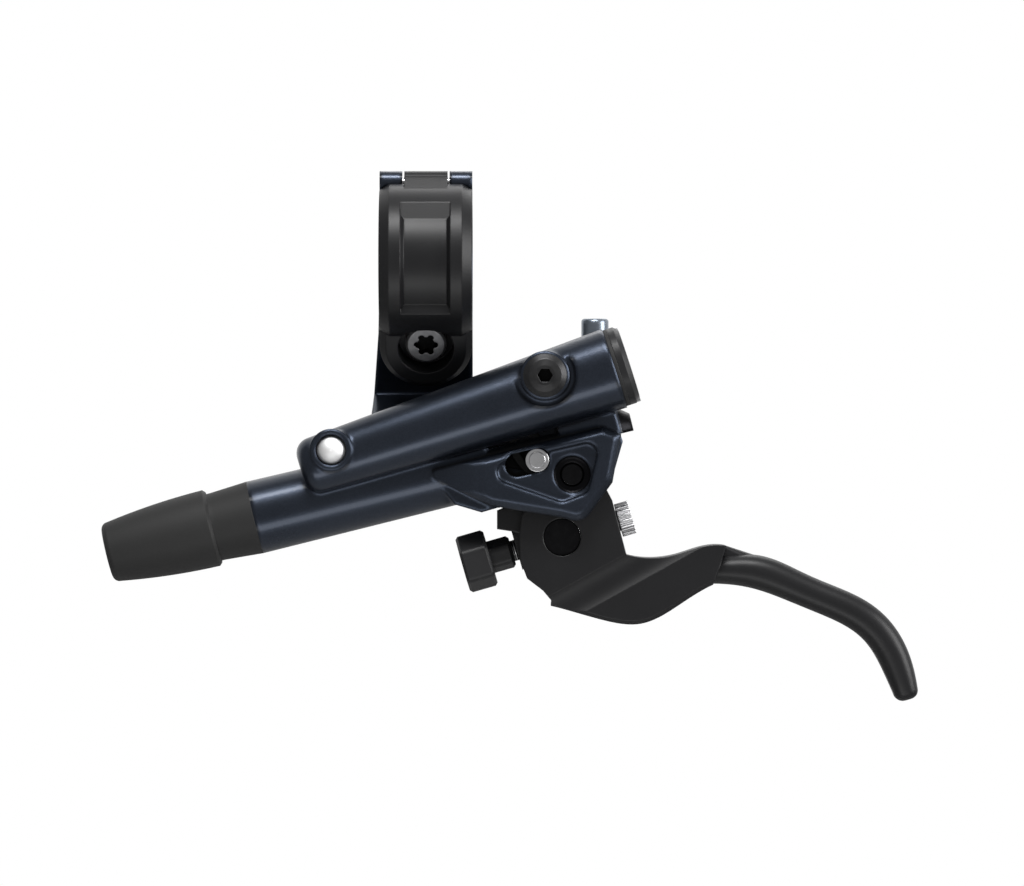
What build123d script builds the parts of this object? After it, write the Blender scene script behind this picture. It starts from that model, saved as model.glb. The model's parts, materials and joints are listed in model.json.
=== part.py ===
from build123d import *
from math import cos, pi, radians, sin, sqrt
import os

# Hydraulic brake lever for a straight handlebar, in millimetres.
# X runs outboard along the handlebar, Z from the lever towards the bar, Y away from the side shown.
# The origin is the middle of the clamp's bore, on the axis of the handlebar.

# Handlebar clamp
bar_radius = 11.1
bar_clearance = 0.1
clamp_width = 17.6
band_wall = 3.4
band_bevel_width = 1.9
band_bevel_depth = 1.2
band_recess_width = 9.4
band_recess_depth = 1.3
band_recess_start = 146
band_recess_end = 221
band_recess_slope_top = 13
band_recess_slope_low = 5
saddle_wall = 3.0
hinge_height = 14.8
hinge_top_gap = 0.8
knuckle_radius = 2.1
knuckle_width = 8.2
knuckle_room = 0.4
hinge_side_gap = 0.4
hinge_web = 6.0
band_sweep = 206
saddle_sweep = 160
arm_lug_room = 0.6
arm_front = 5.0
arm_front_z = -27.5
arm_back = 13.0
arm_flare = 1.5
arm_round = 2.0
hinge_pin_radius = 1.0
hinge_pin_clearance = 0.05

# Clamp bolt
bolt_tilt = 30
bolt_radius = 2.5
bolt_head_radius = 3.9
bolt_head_height = 2.7
bolt_socket_radius = 2.3
bolt_socket_depth = 1.7
bolt_lobes = 6
bolt_lobe_radius = 0.6
bolt_web = 0.5
bolt_thread_clearance = 0.05
bolt_thread_length = 9.5
bolt_seat_clearance = 0.05
band_hole_clearance = 0.3
band_hole_slot = 1.4
counterbore_radius = 5.3
clamp_gap = 1.2
clamp_gap_place = 2.0
lug_floor = 2.4
lug_rim = 4.2
lug_back_wall = 4.6

# Cylinder tube, with its axis tilted in the side view
cylinder_tilt = 13.6
cylinder_height = -41.05
tube_radius_left = 7.0
tube_radius_right = 6.5
tube_shoulder = -33.4
tube_setback = -0.9
tube_nose_radius = 5.0
spigot_radius = 5.2
spigot_length = 11.6
piston_bore_radius = 4.5
piston_bore_start = -14.0
port_radius = 1.5

# Hose connection and boot
gland_radius = 3.9
gland_length = 4.7
gland_clearance = 0.05
gland_hex = 8.0
gland_head = 5.3
olive_length = 2.4
olive_radius = 3.5
olive_bevel = 0.48
hose_hole_radius = 2.65
boot_length = 28.9
boot_fit = 0.05
boot_end_radius = 5.75
boot_end_round = 1.3
boot_belly_radius = 6.9
boot_lip_radius = 7.4
boot_lip_round = 0.5
boot_groove_radius = 6.5
boot_collar_radius = 7.0
boot_collar_length = 7.4
boot_groove_width = 0.7
boot_room = 0.4

# Reservoir
reservoir_tilt = 18
reservoir_x = -23.5
reservoir_z = -39.9
reservoir_length = 62.2
reservoir_depth_left = 12.5
reservoir_depth_right = 18.4
reservoir_height_left = 10.6
reservoir_height_right = 15.6
reservoir_y_left = -5.0
reservoir_y_right = -6.2
reservoir_flat_left = 0.8
reservoir_flat_right = 1.6
reservoir_end_round = 3.0
lid_thickness = 2.2
lid_inset = 0.3
lid_edge = 0.9
bladder_flange = 0.7
bladder_depth = 8.5
bladder_wall = 3.4
bladder_clearance = 0.15
lid_screw_radius = 1.0
lid_screw_head = 1.6
lid_screw_sink = 1.1
lid_screw_length = 6.0
lid_screw_inset = 2.0

# Bleed screw and sealing ball on the reservoir
bleed_setback = 12.92
bleed_rise = 2.7
bleed_boss_radius = 4.6
bleed_groove_width = 1.2
bleed_groove_depth = 1.0
bleed_boss_height = 1.6
bleed_head_radius = 4.1
bleed_head_height = 2.2
bleed_dome = [(0.5, 1.0), (0.85, 0.75), (1.0, 0.45)]
bleed_shank_radius = 2.4
bleed_shank_length = 4.5
bleed_hex = 2.5
bleed_hex_depth = 1.6
bleed_ring_radius = 0.55
bleed_seat = 0.7
ball_x = -17.7
ball_z = -36.1
ball_radius = 2.9
ball_boss_radius = 4.0
ball_boss_height = 0.9
ball_stand = 0.9

# Support post against the handlebar
post_setback = 3.5
post_y = 4.6
post_radius = 2.6
post_clearance = 0.15
post_round = 0.6

# Lever pivot, yoke and mechanism
pivot_x = 27.7
pivot_z = -40.7
pivot_radius = 2.0
pivot_clearance = 0.04
pivot_counterbore = 3.5
pivot_counterbore_depth = 1.2
yoke_inside = 6.2
yoke_wall = 3.3
yoke_rim_height = 1.0
yoke_pocket_depth = 2.0
yoke_corner = 3.0
yoke_pocket_corner = 2.0
yoke_edge = 1.3
yoke_pocket_edge = 0.4
yoke_ramp_length = 9.0
yoke_ramp_start = 7.3
# Corners of the yoke in the side view, counted from the pivot
yoke_crest = (-26.6, 3.0)
rim_crest = (-26.4, 0.8)
yoke_left = (-26.2, -0.6)
yoke_heel = (-15.5, -5.9)
yoke_sole = (-2.2, -8.1)
yoke_tip = (2.0, -9.2)
yoke_right = (7.6, -1.5)
web_corner = (-22.2, -5.7)
web_heel = (-17.1, -7.2)
web_end = (-14.0, -6.3)
pocket_left = (-19.3, 0.8)
pocket_sole = (-1.9, -5.2)
pocket_tip = (2.9, -3.4)
# Corners counted back along the reservoir and down from its underside, at its lid end
yoke_shoulder = (2.5, 5.9)
yoke_top = (2.4, -0.8)
rim_shoulder = (2.6, 4.4)
rim_top = (5.4, 2.0)
pocket_right = (6.6, 4.2)
slot_left = 12.2
slot_room = 0.6
slot_hub_room = 0.7
slot_cheek_room = 2.0
cam_x = 21.1
cam_z = -38.0
cam_pin_radius = 1.5
cam_clearance = 0.1
roller_radius = 2.2
roller_clearance = 0.05
piston_stroke = 3.7
pull_angle = 22
guide_margin = 0.5
guide_floor = 1.0
piston_clearance = 0.05
piston_length = 13.0
piston_stop_gap = 0.3
seal_width = 2.0
seal_depth = 1.4
seal_back = 5.0
seal_clearance = 0.03
ring_thickness = 1.0
ring_inner_radius = 2.7
ring_groove = 0.5
pushrod_radius = 2.0
pushrod_half_width = 1.2
pushrod_eye_radius = 2.9
pushrod_socket = 3.0

# Lever link
link_inside = 1.5
link_outside = 3.1
link_hub_radius = 4.2
link_wall = 1.6
bush_wall = 0.6
# Corners of the link in the side view, counted from the pivot
link_arm = [
    (-3.5, -2.2), (-14.2, -6.9), (-14.2, -10.4), (-11.0, -10.9),
    (-7.4, -11.4), (-7.0, -8.0), (3.0, -3.0),
]
pin_clip_radius = 3.6
pin_clip_thickness = 0.7
pin_clip_slot = 1.8
pin_end_gap = 0.3

# Lever blade
fork_inside = 3.4
fork_outside = 5.9
fork_hub_radius = 4.6
# Outline of the blade's root in the side view, counted from the pivot
root_left = [
    (-3.5, 3.0), (-9.5, -7.8), (-10.0, -11.6), (-9.8, -16.3),
    (-8.5, -19.7), (-5.5, -22.0), (-3.9, -23.9),
]
root_bottom = [(-4.0, -24.9), (6.3, -27.7), (12.9, -28.3), (20.9, -24.3), (26.7, -20.9)]
root_top = [(29.2, -13.5), (24.2, -13.8), (20.1, -15.1), (13.9, -15.8), (10.3, -15.2)]
root_right = [(10.3, -15.2), (7.6, -4.9), (3.5, 3.0)]
fork_floor = [(-20.0, -21.0), (-3.7, -18.9), (1.5, -16.6), (4.0, -14.2), (20.0, -14.2)]
# Sections of the finger: place from the pivot, tilt, thickness and width
finger = [
    ((24.8, -17.3), 0, 6.6, 9.6),
    ((34.8, -18.5), -18, 6.4, 9.8),
    ((42.4, -21.3), -21, 6.1, 9.8),
    ((50.0, -24.5), -25, 6.0, 9.8),
    ((56.3, -28.1), -40, 6.1, 9.6),
    ((60.1, -32.7), -60, 6.0, 8.8),
    ((62.6, -38.6), -72, 5.3, 7.6),
    ((63.8, -42.8), -74, 4.4, 6.2),
]
finger_flat = 0.5
finger_tip = 1.7
root_edge = 0.7
# Flute across the root and dimple at the start of the finger, counted from the pivot
flute_centre = (7.8, -19.7)
flute_tilt = 29
flute_radius = 6.0
flute_depth = 0.8
flute_length = 18.0
dimple_centre = (33.6, -12.2)
dimple_radius = 5.0
dimple_height = 2.1

# Reach adjuster
nut_x = 25.8
nut_z = -52.6
nut_radius = 3.5
nut_clearance = 0.05
nut_end_sink = 0.6
screw_tilt = 16
screw_radius = 2.0
screw_clearance = 0.05
screw_play = 0.75
screw_lug_radius = 3.9
screw_lug_length = 2.6
screw_lug_place = -7.6
knob_place = -9.8
knob_neck_radius = 3.3
knob_neck_length = 4.3
knob_radius = 5.7
knob_length = 5.5
knob_sides = 6
knob_turn = 36
knob_corner = 1.2
knob_edge = 0.5
screw_end_place = 11.2
screw_end_radius = 3.2
screw_end_length = 2.6
screw_end_grooves = 18
screw_end_groove = 0.36

os.makedirs("parts", exist_ok=True)


def cosd(angle):
    return cos(radians(angle))


def sind(angle):
    return sin(radians(angle))


def lengthwise(x, z, tilt, y=0):
    """Side-view plane: local x along the tilted axis, local y square to it, normal to the viewer."""
    return Plane(origin=(x, y, z), x_dir=(cosd(tilt), 0, sind(tilt)), z_dir=(0, -1, 0))


def crosswise(x, z, tilt, y=0):
    """Plane square to the tilted axis: local x along +Y, local y upwards, normal along the axis."""
    return Plane(origin=(x, y, z), x_dir=(0, 1, 0), z_dir=(cosd(tilt), 0, sind(tilt)))


def radial(angle):
    """Plane through the handlebar axis: local x along X, local y out from the axis at an angle."""
    return Plane(origin=(0, 0, 0), x_dir=(1, 0, 0), z_dir=(0, -sind(angle), cosd(angle)))


def outline(plane, points):
    """Flat face with straight sides on a plane."""
    with BuildSketch(plane) as face:
        Polygon(*points, align=None)
    return face.sketch


def disc(plane, radius, place=(0, 0)):
    """Round face on a plane."""
    with BuildSketch(plane) as face:
        with Locations(place):
            Circle(radius)
    return face.sketch


def ring(plane, outer, inner):
    """Ring-shaped face on a plane."""
    with BuildSketch(plane) as face:
        Circle(outer)
        Circle(inner, mode=Mode.SUBTRACT)
    return face.sketch


def finish(builder, name):
    """Name a finished piece and write it to its file."""
    builder.part.label = name
    export_step(builder.part, f"parts/{name}.step")


# Places that several pieces share
bore_radius = bar_radius + bar_clearance
band_radius = bore_radius + band_wall
saddle_radius = bore_radius + saddle_wall
bolt_offset = bore_radius + bolt_radius + bolt_web
band_face = clamp_gap_place + clamp_gap / 2
saddle_face = clamp_gap_place - clamp_gap / 2
seat_place = band_face + lug_floor
rim_place = seat_place + lug_rim
lug_radius = clamp_width / 2


def clamp_point(t, n):
    """(Y, Z) of a point t along the clamp bolt and n out from the handlebar axis."""
    y = -t * cosd(bolt_tilt) + n * sind(bolt_tilt)
    z = -t * sind(bolt_tilt) - n * cosd(bolt_tilt)
    return (y, z)


def around_bar(angle, radius):
    """(Y, Z) of a point at an angle round the handlebar axis."""
    return (radius * cosd(angle), radius * sind(angle))


bolt_foot = clamp_point(0, bolt_offset)
bolt_plane = Plane(
    origin=(0, bolt_foot[0], bolt_foot[1]),
    x_dir=(1, 0, 0),
    z_dir=(0, -cosd(bolt_tilt), -sind(bolt_tilt)),
)
hinge_plane = Plane.YZ
hinge_place = (0, hinge_height)
knuckle_gap = knuckle_width / 2 + hinge_side_gap
ear_width = clamp_width / 2 - knuckle_gap

cylinder_side = lengthwise(0, cylinder_height, cylinder_tilt)
cylinder_cross = crosswise(0, cylinder_height, cylinder_tilt)
cylinder_axis = Axis(cylinder_side.origin, cylinder_side.x_dir)
spigot_end = tube_shoulder - spigot_length

reservoir_side = lengthwise(reservoir_x, reservoir_z, reservoir_tilt)
reservoir_cross = crosswise(reservoir_x, reservoir_z, reservoir_tilt)
reservoir_end = reservoir_side.from_local_coords(Vector(reservoir_length, 0, 0))
tube_end = cylinder_side.to_local_coords(reservoir_end).X - tube_setback
post_x = reservoir_end.X - post_setback
bleed_centre = reservoir_side.from_local_coords(Vector(reservoir_length - bleed_setback, bleed_rise, 0))
bleed_x = bleed_centre.X
bleed_z = bleed_centre.Z

pivot_place = (pivot_x, pivot_z)
cam_place = (cam_x, cam_z)
yoke_outside = yoke_inside + yoke_wall

# Clamp band: half ring with a hinge knuckle at the top and a bolt lug at the bottom
band_start = 90 + hinge_top_gap / bore_radius * 180 / pi
band_section = [
    (-clamp_width / 2, bore_radius),
    (clamp_width / 2, bore_radius),
    (clamp_width / 2, band_radius - band_bevel_depth),
    (clamp_width / 2 - band_bevel_width, band_radius),
    (-clamp_width / 2 + band_bevel_width, band_radius),
    (-clamp_width / 2, band_radius - band_bevel_depth),
]
recess_floor = band_radius - band_recess_depth
recess_half = band_recess_width / 2
recess_section = [
    (-recess_half + band_recess_depth / 2, recess_floor),
    (recess_half - band_recess_depth / 2, recess_floor),
    (recess_half + band_recess_depth / 2, band_radius + band_recess_depth),
    (-recess_half - band_recess_depth / 2, band_radius + band_recess_depth),
]
band_web = [
    (0, hinge_height + knuckle_radius),
    (-hinge_web, sqrt(band_radius**2 - hinge_web**2)),
    (-hinge_web, sqrt(bore_radius**2 - hinge_web**2)),
    (0, hinge_height - knuckle_radius),
]
with BuildPart() as clamp_band:
    with BuildSketch(bolt_plane.offset(band_face)):
        Circle(lug_radius)
        with Locations((0, lug_radius / 2)):
            Rectangle(clamp_width, lug_radius)
    extrude(amount=rim_place - band_face)
    chamfer(faces().sort_by(Axis(bolt_plane.origin, bolt_plane.z_dir))[-1].edges(), band_bevel_depth)
    revolve(outline(radial(band_start), band_section), axis=Axis.X, revolution_arc=band_sweep)
    extrude(outline(hinge_plane, band_web), amount=knuckle_width / 2, both=True)
    extrude(disc(hinge_plane, knuckle_radius, hinge_place), amount=knuckle_width / 2, both=True)
    with BuildSketch(bolt_plane.offset(band_face)):
        Rectangle(clamp_width * 2, bolt_offset * 2)
    extrude(amount=-band_radius, mode=Mode.SUBTRACT)
    extrude(disc(hinge_plane, bore_radius), amount=clamp_width, both=True, mode=Mode.SUBTRACT)
    for side in (-1, 1):
        ear_plane = hinge_plane.offset(side * knuckle_width / 2)
        ear_room = disc(ear_plane, knuckle_radius + knuckle_room, hinge_place)
        extrude(ear_room, amount=side * clamp_width, mode=Mode.SUBTRACT)
    revolve(
        outline(radial(band_recess_start), recess_section),
        axis=Axis.X,
        revolution_arc=band_recess_end - band_recess_start,
        mode=Mode.SUBTRACT,
    )
    recess_ends = {band_recess_start: -band_recess_slope_top, band_recess_end: band_recess_slope_low}
    for start, slope in recess_ends.items():
        ramp = [
            around_bar(start + slope, band_radius),
            around_bar(start, recess_floor),
            around_bar(start, band_radius + band_recess_depth),
        ]
        extrude(outline(hinge_plane, ramp), amount=recess_half, both=True, mode=Mode.SUBTRACT)
    extrude(disc(bolt_plane.offset(seat_place), counterbore_radius), amount=band_radius, mode=Mode.SUBTRACT)
    with BuildSketch(bolt_plane):
        Circle(bolt_radius + band_hole_clearance)
        with Locations((0, -band_hole_slot)):
            Circle(bolt_radius + band_hole_clearance)
        with Locations((0, -band_hole_slot / 2)):
            Rectangle(2 * (bolt_radius + band_hole_clearance), band_hole_slot)
    extrude(amount=band_radius, mode=Mode.SUBTRACT)
    hinge_hole = disc(hinge_plane, hinge_pin_radius + hinge_pin_clearance, hinge_place)
    extrude(hinge_hole, amount=clamp_width, both=True, mode=Mode.SUBTRACT)
finish(clamp_band, "clamp_band")

# Clamp bolt with a socket in its head
bolt_seat = seat_place + bolt_seat_clearance
with BuildPart() as clamp_bolt:
    extrude(disc(bolt_plane.offset(bolt_seat), bolt_head_radius), amount=bolt_head_height)
    chamfer(edges().sort_by(Axis(bolt_plane.origin, bolt_plane.z_dir))[-1], bolt_head_height / 6)
    bolt_tip = saddle_face - bolt_thread_length
    extrude(disc(bolt_plane.offset(bolt_tip), bolt_radius), amount=bolt_seat - bolt_tip)
    lobe_place = bolt_socket_radius - bolt_lobe_radius
    with BuildSketch(bolt_plane.offset(bolt_seat + bolt_head_height)):
        Circle(lobe_place)
        with PolarLocations(lobe_place, bolt_lobes):
            Circle(bolt_lobe_radius)
    extrude(amount=-bolt_socket_depth, mode=Mode.SUBTRACT)
finish(clamp_bolt, "clamp_bolt")

# Hinge pin of the clamp
with BuildPart() as clamp_hinge_pin:
    extrude(disc(hinge_plane, hinge_pin_radius, hinge_place), amount=clamp_width / 2, both=True)
finish(clamp_hinge_pin, "clamp_hinge_pin")

# Reservoir, widening from its blunt end to the lid, with little flat left on its sides
reservoir_corner_left = (reservoir_height_left - reservoir_flat_left) / 2
reservoir_corner_right = (reservoir_height_right - reservoir_flat_right) / 2
with BuildPart() as reservoir:
    with BuildSketch(reservoir_cross):
        with Locations((reservoir_y_left, 0)):
            RectangleRounded(reservoir_depth_left, reservoir_height_left, reservoir_corner_left)
    with BuildSketch(reservoir_cross.offset(reservoir_length)):
        with Locations((reservoir_y_right, 0)):
            RectangleRounded(reservoir_depth_right, reservoir_height_right, reservoir_corner_right)
    loft()
    blunt_end = faces().sort_by(Axis(reservoir_cross.origin, reservoir_cross.z_dir))[0]
    fillet(blunt_end.edges(), reservoir_end_round)

pivot_local = cylinder_side.to_local_coords(Vector(pivot_x, 0, pivot_z))
cam_local = cylinder_side.to_local_coords(Vector(cam_x, 0, cam_z))
hub_top = pivot_local.Y + fork_hub_radius + slot_hub_room
hub_start = cam_local.X + cam_pin_radius + link_wall + slot_cheek_room
yoke_reach = yoke_outside + yoke_rim_height


def from_pivot(corners):
    """Side-view points from corners that are counted from the pivot."""
    return [(pivot_x + x, pivot_z + z) for x, z in corners]


def under_reservoir(corners):
    """Side-view points from corners counted back and down from the reservoir's lower edge at the lid."""
    low = -reservoir_height_right / 2
    places = [Vector(reservoir_length - back, low - down, 0) for back, down in corners]
    return [(point.X, point.Z) for point in map(reservoir_side.from_local_coords, places)]


def reservoir_front(x):
    """Y of the reservoir's front face at a place along the handlebar."""
    share = (x - reservoir_x) / cosd(reservoir_tilt) / reservoir_length
    middle = reservoir_y_left + share * (reservoir_y_right - reservoir_y_left)
    depth = reservoir_depth_left + share * (reservoir_depth_right - reservoir_depth_left)
    return middle - depth / 2


def cam_track(angle):
    """Place of the cam pin on the link when the lever has turned by an angle."""
    travel = piston_stroke * angle / pull_angle
    x = cam_x - travel * cosd(cylinder_tilt) - pivot_x
    z = cam_z - travel * sind(cylinder_tilt) - pivot_z
    return (
        pivot_x + x * cosd(angle) + z * sind(angle),
        pivot_z - x * sind(angle) + z * cosd(angle),
    )


cam_room = cam_pin_radius + cam_clearance
cheek_end = Vector(cam_track(pull_angle)[0], 0, cam_track(pull_angle)[1])
slot_top = cylinder_side.to_local_coords(cheek_end).Y + cam_room + link_wall + slot_room
bleed_face = reservoir_front(bleed_x) - bleed_boss_height
ball_face = reservoir_front(ball_x) - ball_boss_height
bleed_place = (bleed_x, bleed_z)
ball_place = (ball_x, ball_z)
lid_screw_spread = reservoir_height_right / 2 - lid_screw_inset
screw_places = [(reservoir_y_right, side * lid_screw_spread) for side in (-1, 1)]
cavity_depth = reservoir_depth_right - 2 * bladder_wall
cavity_height = reservoir_height_right - 2 * bladder_wall
cavity_corner = reservoir_corner_right - bladder_wall
lid_inner = reservoir_length + bladder_flange
ring_place = slot_left - ring_thickness - ring_groove

# Post that rests against the handlebar
with BuildPart() as support_post:
    post_top = -sqrt(bar_radius**2 - (post_y - post_radius) ** 2) - post_clearance
    extrude(disc(Plane.XY.offset(post_top), post_radius, (post_x, post_y)), amount=cylinder_height / 2)
    fillet(edges().sort_by(Axis.Z)[-1], post_round)

# Outer form of the casting: cylinder tube, yoke, reservoir, support post and bosses
tube_profile = [
    (spigot_end, 0),
    (spigot_end, spigot_radius),
    (tube_shoulder, spigot_radius),
    (tube_shoulder, tube_radius_left),
    (tube_end - tube_radius_right, tube_radius_right),
    (tube_end - tube_radius_right / 2, tube_nose_radius),
    (tube_end, tube_nose_radius / 2),
    (tube_end, 0),
]
yoke_end = from_pivot([yoke_sole, yoke_tip, yoke_right])
yoke_front = from_pivot([rim_crest, yoke_left, yoke_heel]) + yoke_end
yoke_front += under_reservoir([rim_shoulder, rim_top])
yoke_back = from_pivot([yoke_crest, yoke_left, web_corner, web_heel, web_end]) + yoke_end
yoke_back += under_reservoir([yoke_shoulder, yoke_top])
pocket_corners = from_pivot([pocket_left, pocket_sole, pocket_tip]) + under_reservoir([pocket_right])
ramp_x = pivot_x + yoke_crest[0]
yoke_ramp = [
    (ramp_x - yoke_rim_height, -yoke_ramp_start),
    (ramp_x, -yoke_ramp_start),
    (ramp_x + yoke_ramp_length, -yoke_reach),
    (ramp_x + yoke_ramp_length, -yoke_reach - yoke_rim_height),
    (ramp_x - yoke_rim_height, -yoke_reach - yoke_rim_height),
]
mechanism_slot = [
    (slot_left, slot_top),
    (hub_start, slot_top),
    (hub_start, hub_top),
    (tube_end * 2, hub_top),
    (tube_end * 2, -tube_end),
    (slot_left, -tube_end),
]
bore_profile = [
    (spigot_end, 0),
    (spigot_end, gland_radius + gland_clearance),
    (spigot_end + gland_length + olive_length, gland_radius + gland_clearance),
    (spigot_end + gland_length + olive_length, port_radius),
    (piston_bore_start, port_radius),
    (piston_bore_start, piston_bore_radius),
    (ring_place, piston_bore_radius),
    (ring_place, piston_bore_radius + ring_groove),
    (ring_place + ring_thickness, piston_bore_radius + ring_groove),
    (ring_place + ring_thickness, piston_bore_radius),
    (slot_left, piston_bore_radius),
    (slot_left, 0),
]
with BuildPart() as casting:
    revolve(outline(cylinder_side, tube_profile), axis=cylinder_axis)
    with BuildSketch(Plane.XZ.offset(-yoke_outside)) as back_outline:
        Polygon(*yoke_back, align=None)
        fillet(back_outline.vertices().sort_by(Axis.Y)[0], yoke_corner)
    extrude(amount=yoke_outside + yoke_inside)
    with BuildSketch(Plane.XZ.offset(yoke_inside)) as front_outline:
        Polygon(*yoke_front, align=None)
        fillet(front_outline.vertices().sort_by(Axis.Y)[0], yoke_corner)
    extrude(amount=yoke_reach - yoke_inside)
    with BuildSketch(Plane.XZ.offset(yoke_reach)) as pocket_outline:
        Polygon(*pocket_corners, align=None)
        fillet(pocket_outline.vertices(), yoke_pocket_corner)
    extrude(amount=-yoke_pocket_depth, mode=Mode.SUBTRACT)
    extrude(outline(Plane.XY, yoke_ramp), amount=cylinder_height * 2, mode=Mode.SUBTRACT)
    chamfer(faces().sort_by(Axis.Y)[0].inner_wires()[0].edges(), yoke_pocket_edge)
    chamfer(faces().sort_by(Axis.Y)[0].outer_wire().edges(), yoke_edge)
    add(reservoir.part)
    add(support_post.part)
    groove_floor = Plane.XZ.offset(-reservoir_front(bleed_x) - bleed_groove_depth)
    groove_face = disc(groove_floor, bleed_boss_radius + bleed_groove_width, bleed_place)
    extrude(groove_face, amount=bleed_boss_height, mode=Mode.SUBTRACT)
    extrude(disc(Plane.XZ, bleed_boss_radius, bleed_place), amount=-bleed_face)
    extrude(disc(Plane.XZ, ball_boss_radius, ball_place), amount=-ball_face)

# Clamp saddle on its arm, cut to its outline in both side views and standing on the casting
arm_profile = [
    clamp_point(saddle_face, bore_radius - saddle_wall),
    clamp_point(saddle_face, bolt_offset + lug_radius + arm_lug_room),
    (arm_front, arm_front_z),
    (0, cylinder_height),
    (arm_back / 2, cylinder_height),
    (arm_back, arm_front_z),
    clamp_point(saddle_face - bolt_thread_length, bolt_offset + lug_back_wall),
    clamp_point(saddle_face - bolt_thread_length, bore_radius - saddle_wall),
]
arm_face = [
    (-clamp_width / 2, 0),
    (clamp_width / 2, 0),
    (clamp_width / 2, cylinder_height),
    (-clamp_width / 2 - arm_flare * 2, cylinder_height),
    (-clamp_width / 2 - arm_flare, arm_front_z),
    (-clamp_width / 2 - arm_flare / 4, arm_front_z / 2),
]
with BuildPart() as clamp_saddle:
    extrude(outline(Plane.YZ, arm_profile), amount=clamp_width, both=True)
    extrude(outline(Plane.XZ, arm_face), amount=band_radius * 2, both=True, mode=Mode.INTERSECT)
    arm_fronts = faces().filter_by(lambda face: face.normal_at().Y < 0 < face.normal_at().Z)
    fillet(arm_fronts.edges().filter_by(Axis.X, reverse=True), arm_round)
    saddle_section = [
        (-clamp_width / 2, bore_radius),
        (clamp_width / 2, bore_radius),
        (clamp_width / 2, saddle_radius),
        (-clamp_width / 2, saddle_radius),
    ]
    revolve(
        outline(radial(180 - band_start), saddle_section),
        axis=Axis.X,
        revolution_arc=-saddle_sweep,
    )
    ear_web = [(-y, z) for y, z in band_web]
    for side in (-1, 1):
        ear_plane = hinge_plane.offset(side * knuckle_gap)
        extrude(outline(ear_plane, ear_web), amount=side * ear_width)
        extrude(disc(ear_plane, knuckle_radius, hinge_place), amount=side * ear_width)
    with BuildSketch(bolt_plane.offset(saddle_face)):
        Rectangle(clamp_width * 2, bolt_offset * 2)
    extrude(amount=band_radius, mode=Mode.SUBTRACT)
    extrude(disc(hinge_plane, bore_radius), amount=clamp_width, both=True, mode=Mode.SUBTRACT)
    knuckle_space = disc(hinge_plane, knuckle_radius + knuckle_room, hinge_place)
    extrude(knuckle_space, amount=knuckle_gap, both=True, mode=Mode.SUBTRACT)
    extrude(
        disc(bolt_plane.offset(saddle_face), bolt_radius + bolt_thread_clearance),
        amount=-band_radius,
        mode=Mode.SUBTRACT,
    )
    pin_hole = disc(hinge_plane, hinge_pin_radius, hinge_place)
    extrude(pin_hole, amount=clamp_width, both=True, mode=Mode.SUBTRACT)
    add(casting.part, mode=Mode.SUBTRACT)
finish(clamp_saddle, "clamp_saddle")

# Cast body with its bores, its slot for the mechanism and its pockets
with BuildPart() as master_cylinder_body:
    add(casting.part)
    extrude(outline(cylinder_side, mechanism_slot), amount=yoke_inside, both=True, mode=Mode.SUBTRACT)
    revolve(outline(cylinder_side, bore_profile), axis=cylinder_axis, mode=Mode.SUBTRACT)
    guide_plane = lengthwise(cam_x, cam_z, cylinder_tilt)
    with BuildSketch(guide_plane) as guide_slot:
        with Locations((-piston_stroke / 2, 0)):
            guide_length = piston_stroke + guide_margin
            SlotCenterToCenter(guide_length, 2 * (roller_radius + roller_clearance))
    extrude(amount=yoke_reach, mode=Mode.SUBTRACT)
    extrude(guide_slot.sketch, amount=guide_floor - yoke_outside, mode=Mode.SUBTRACT)
    extrude(
        disc(Plane.XZ, pivot_radius + pivot_clearance, pivot_place),
        amount=yoke_reach,
        both=True,
        mode=Mode.SUBTRACT,
    )
    pivot_floor = yoke_reach - yoke_pocket_depth - pivot_counterbore_depth
    extrude(
        disc(Plane.XZ.offset(pivot_floor), pivot_counterbore, pivot_place),
        amount=yoke_reach,
        mode=Mode.SUBTRACT,
    )
    with BuildSketch(reservoir_cross.offset(reservoir_length)):
        with Locations((reservoir_y_right, 0)):
            RectangleRounded(cavity_depth, cavity_height, cavity_corner)
    extrude(amount=-bladder_depth - bladder_clearance, mode=Mode.SUBTRACT)
    with BuildSketch(reservoir_cross.offset(reservoir_length)):
        with Locations(*screw_places):
            Circle(lid_screw_radius)
    extrude(amount=-lid_screw_length, mode=Mode.SUBTRACT)
    extrude(
        disc(Plane.XZ.offset(-bleed_face), bleed_shank_radius, bleed_place),
        amount=-bleed_shank_length,
        mode=Mode.SUBTRACT,
    )
    extrude(
        disc(Plane.XZ.offset(-ball_face), ball_radius, ball_place),
        amount=-2 * ball_radius + ball_stand,
        mode=Mode.SUBTRACT,
    )
finish(master_cylinder_body, "master_cylinder_body")

# Reservoir lid and the rubber bladder whose flange it clamps
lid_depth = reservoir_depth_right - 2 * lid_inset
lid_height = reservoir_height_right - 2 * lid_inset
lid_corner = reservoir_corner_right - lid_inset
with BuildPart() as reservoir_lid:
    with BuildSketch(reservoir_cross.offset(lid_inner)):
        with Locations((reservoir_y_right, 0)):
            RectangleRounded(lid_depth, lid_height, lid_corner)
    extrude(amount=lid_thickness)
    chamfer(faces().sort_by(Axis(reservoir_cross.origin, reservoir_cross.z_dir))[-1].edges(), lid_edge)
    with BuildSketch(reservoir_cross.offset(lid_inner)):
        with Locations(*screw_places):
            Circle(lid_screw_radius)
    extrude(amount=lid_thickness, mode=Mode.SUBTRACT)
    with BuildSketch(reservoir_cross.offset(lid_inner + lid_thickness)):
        with Locations(*screw_places):
            Circle(lid_screw_head)
    extrude(amount=-lid_screw_sink, mode=Mode.SUBTRACT)
finish(reservoir_lid, "reservoir_lid")

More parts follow.
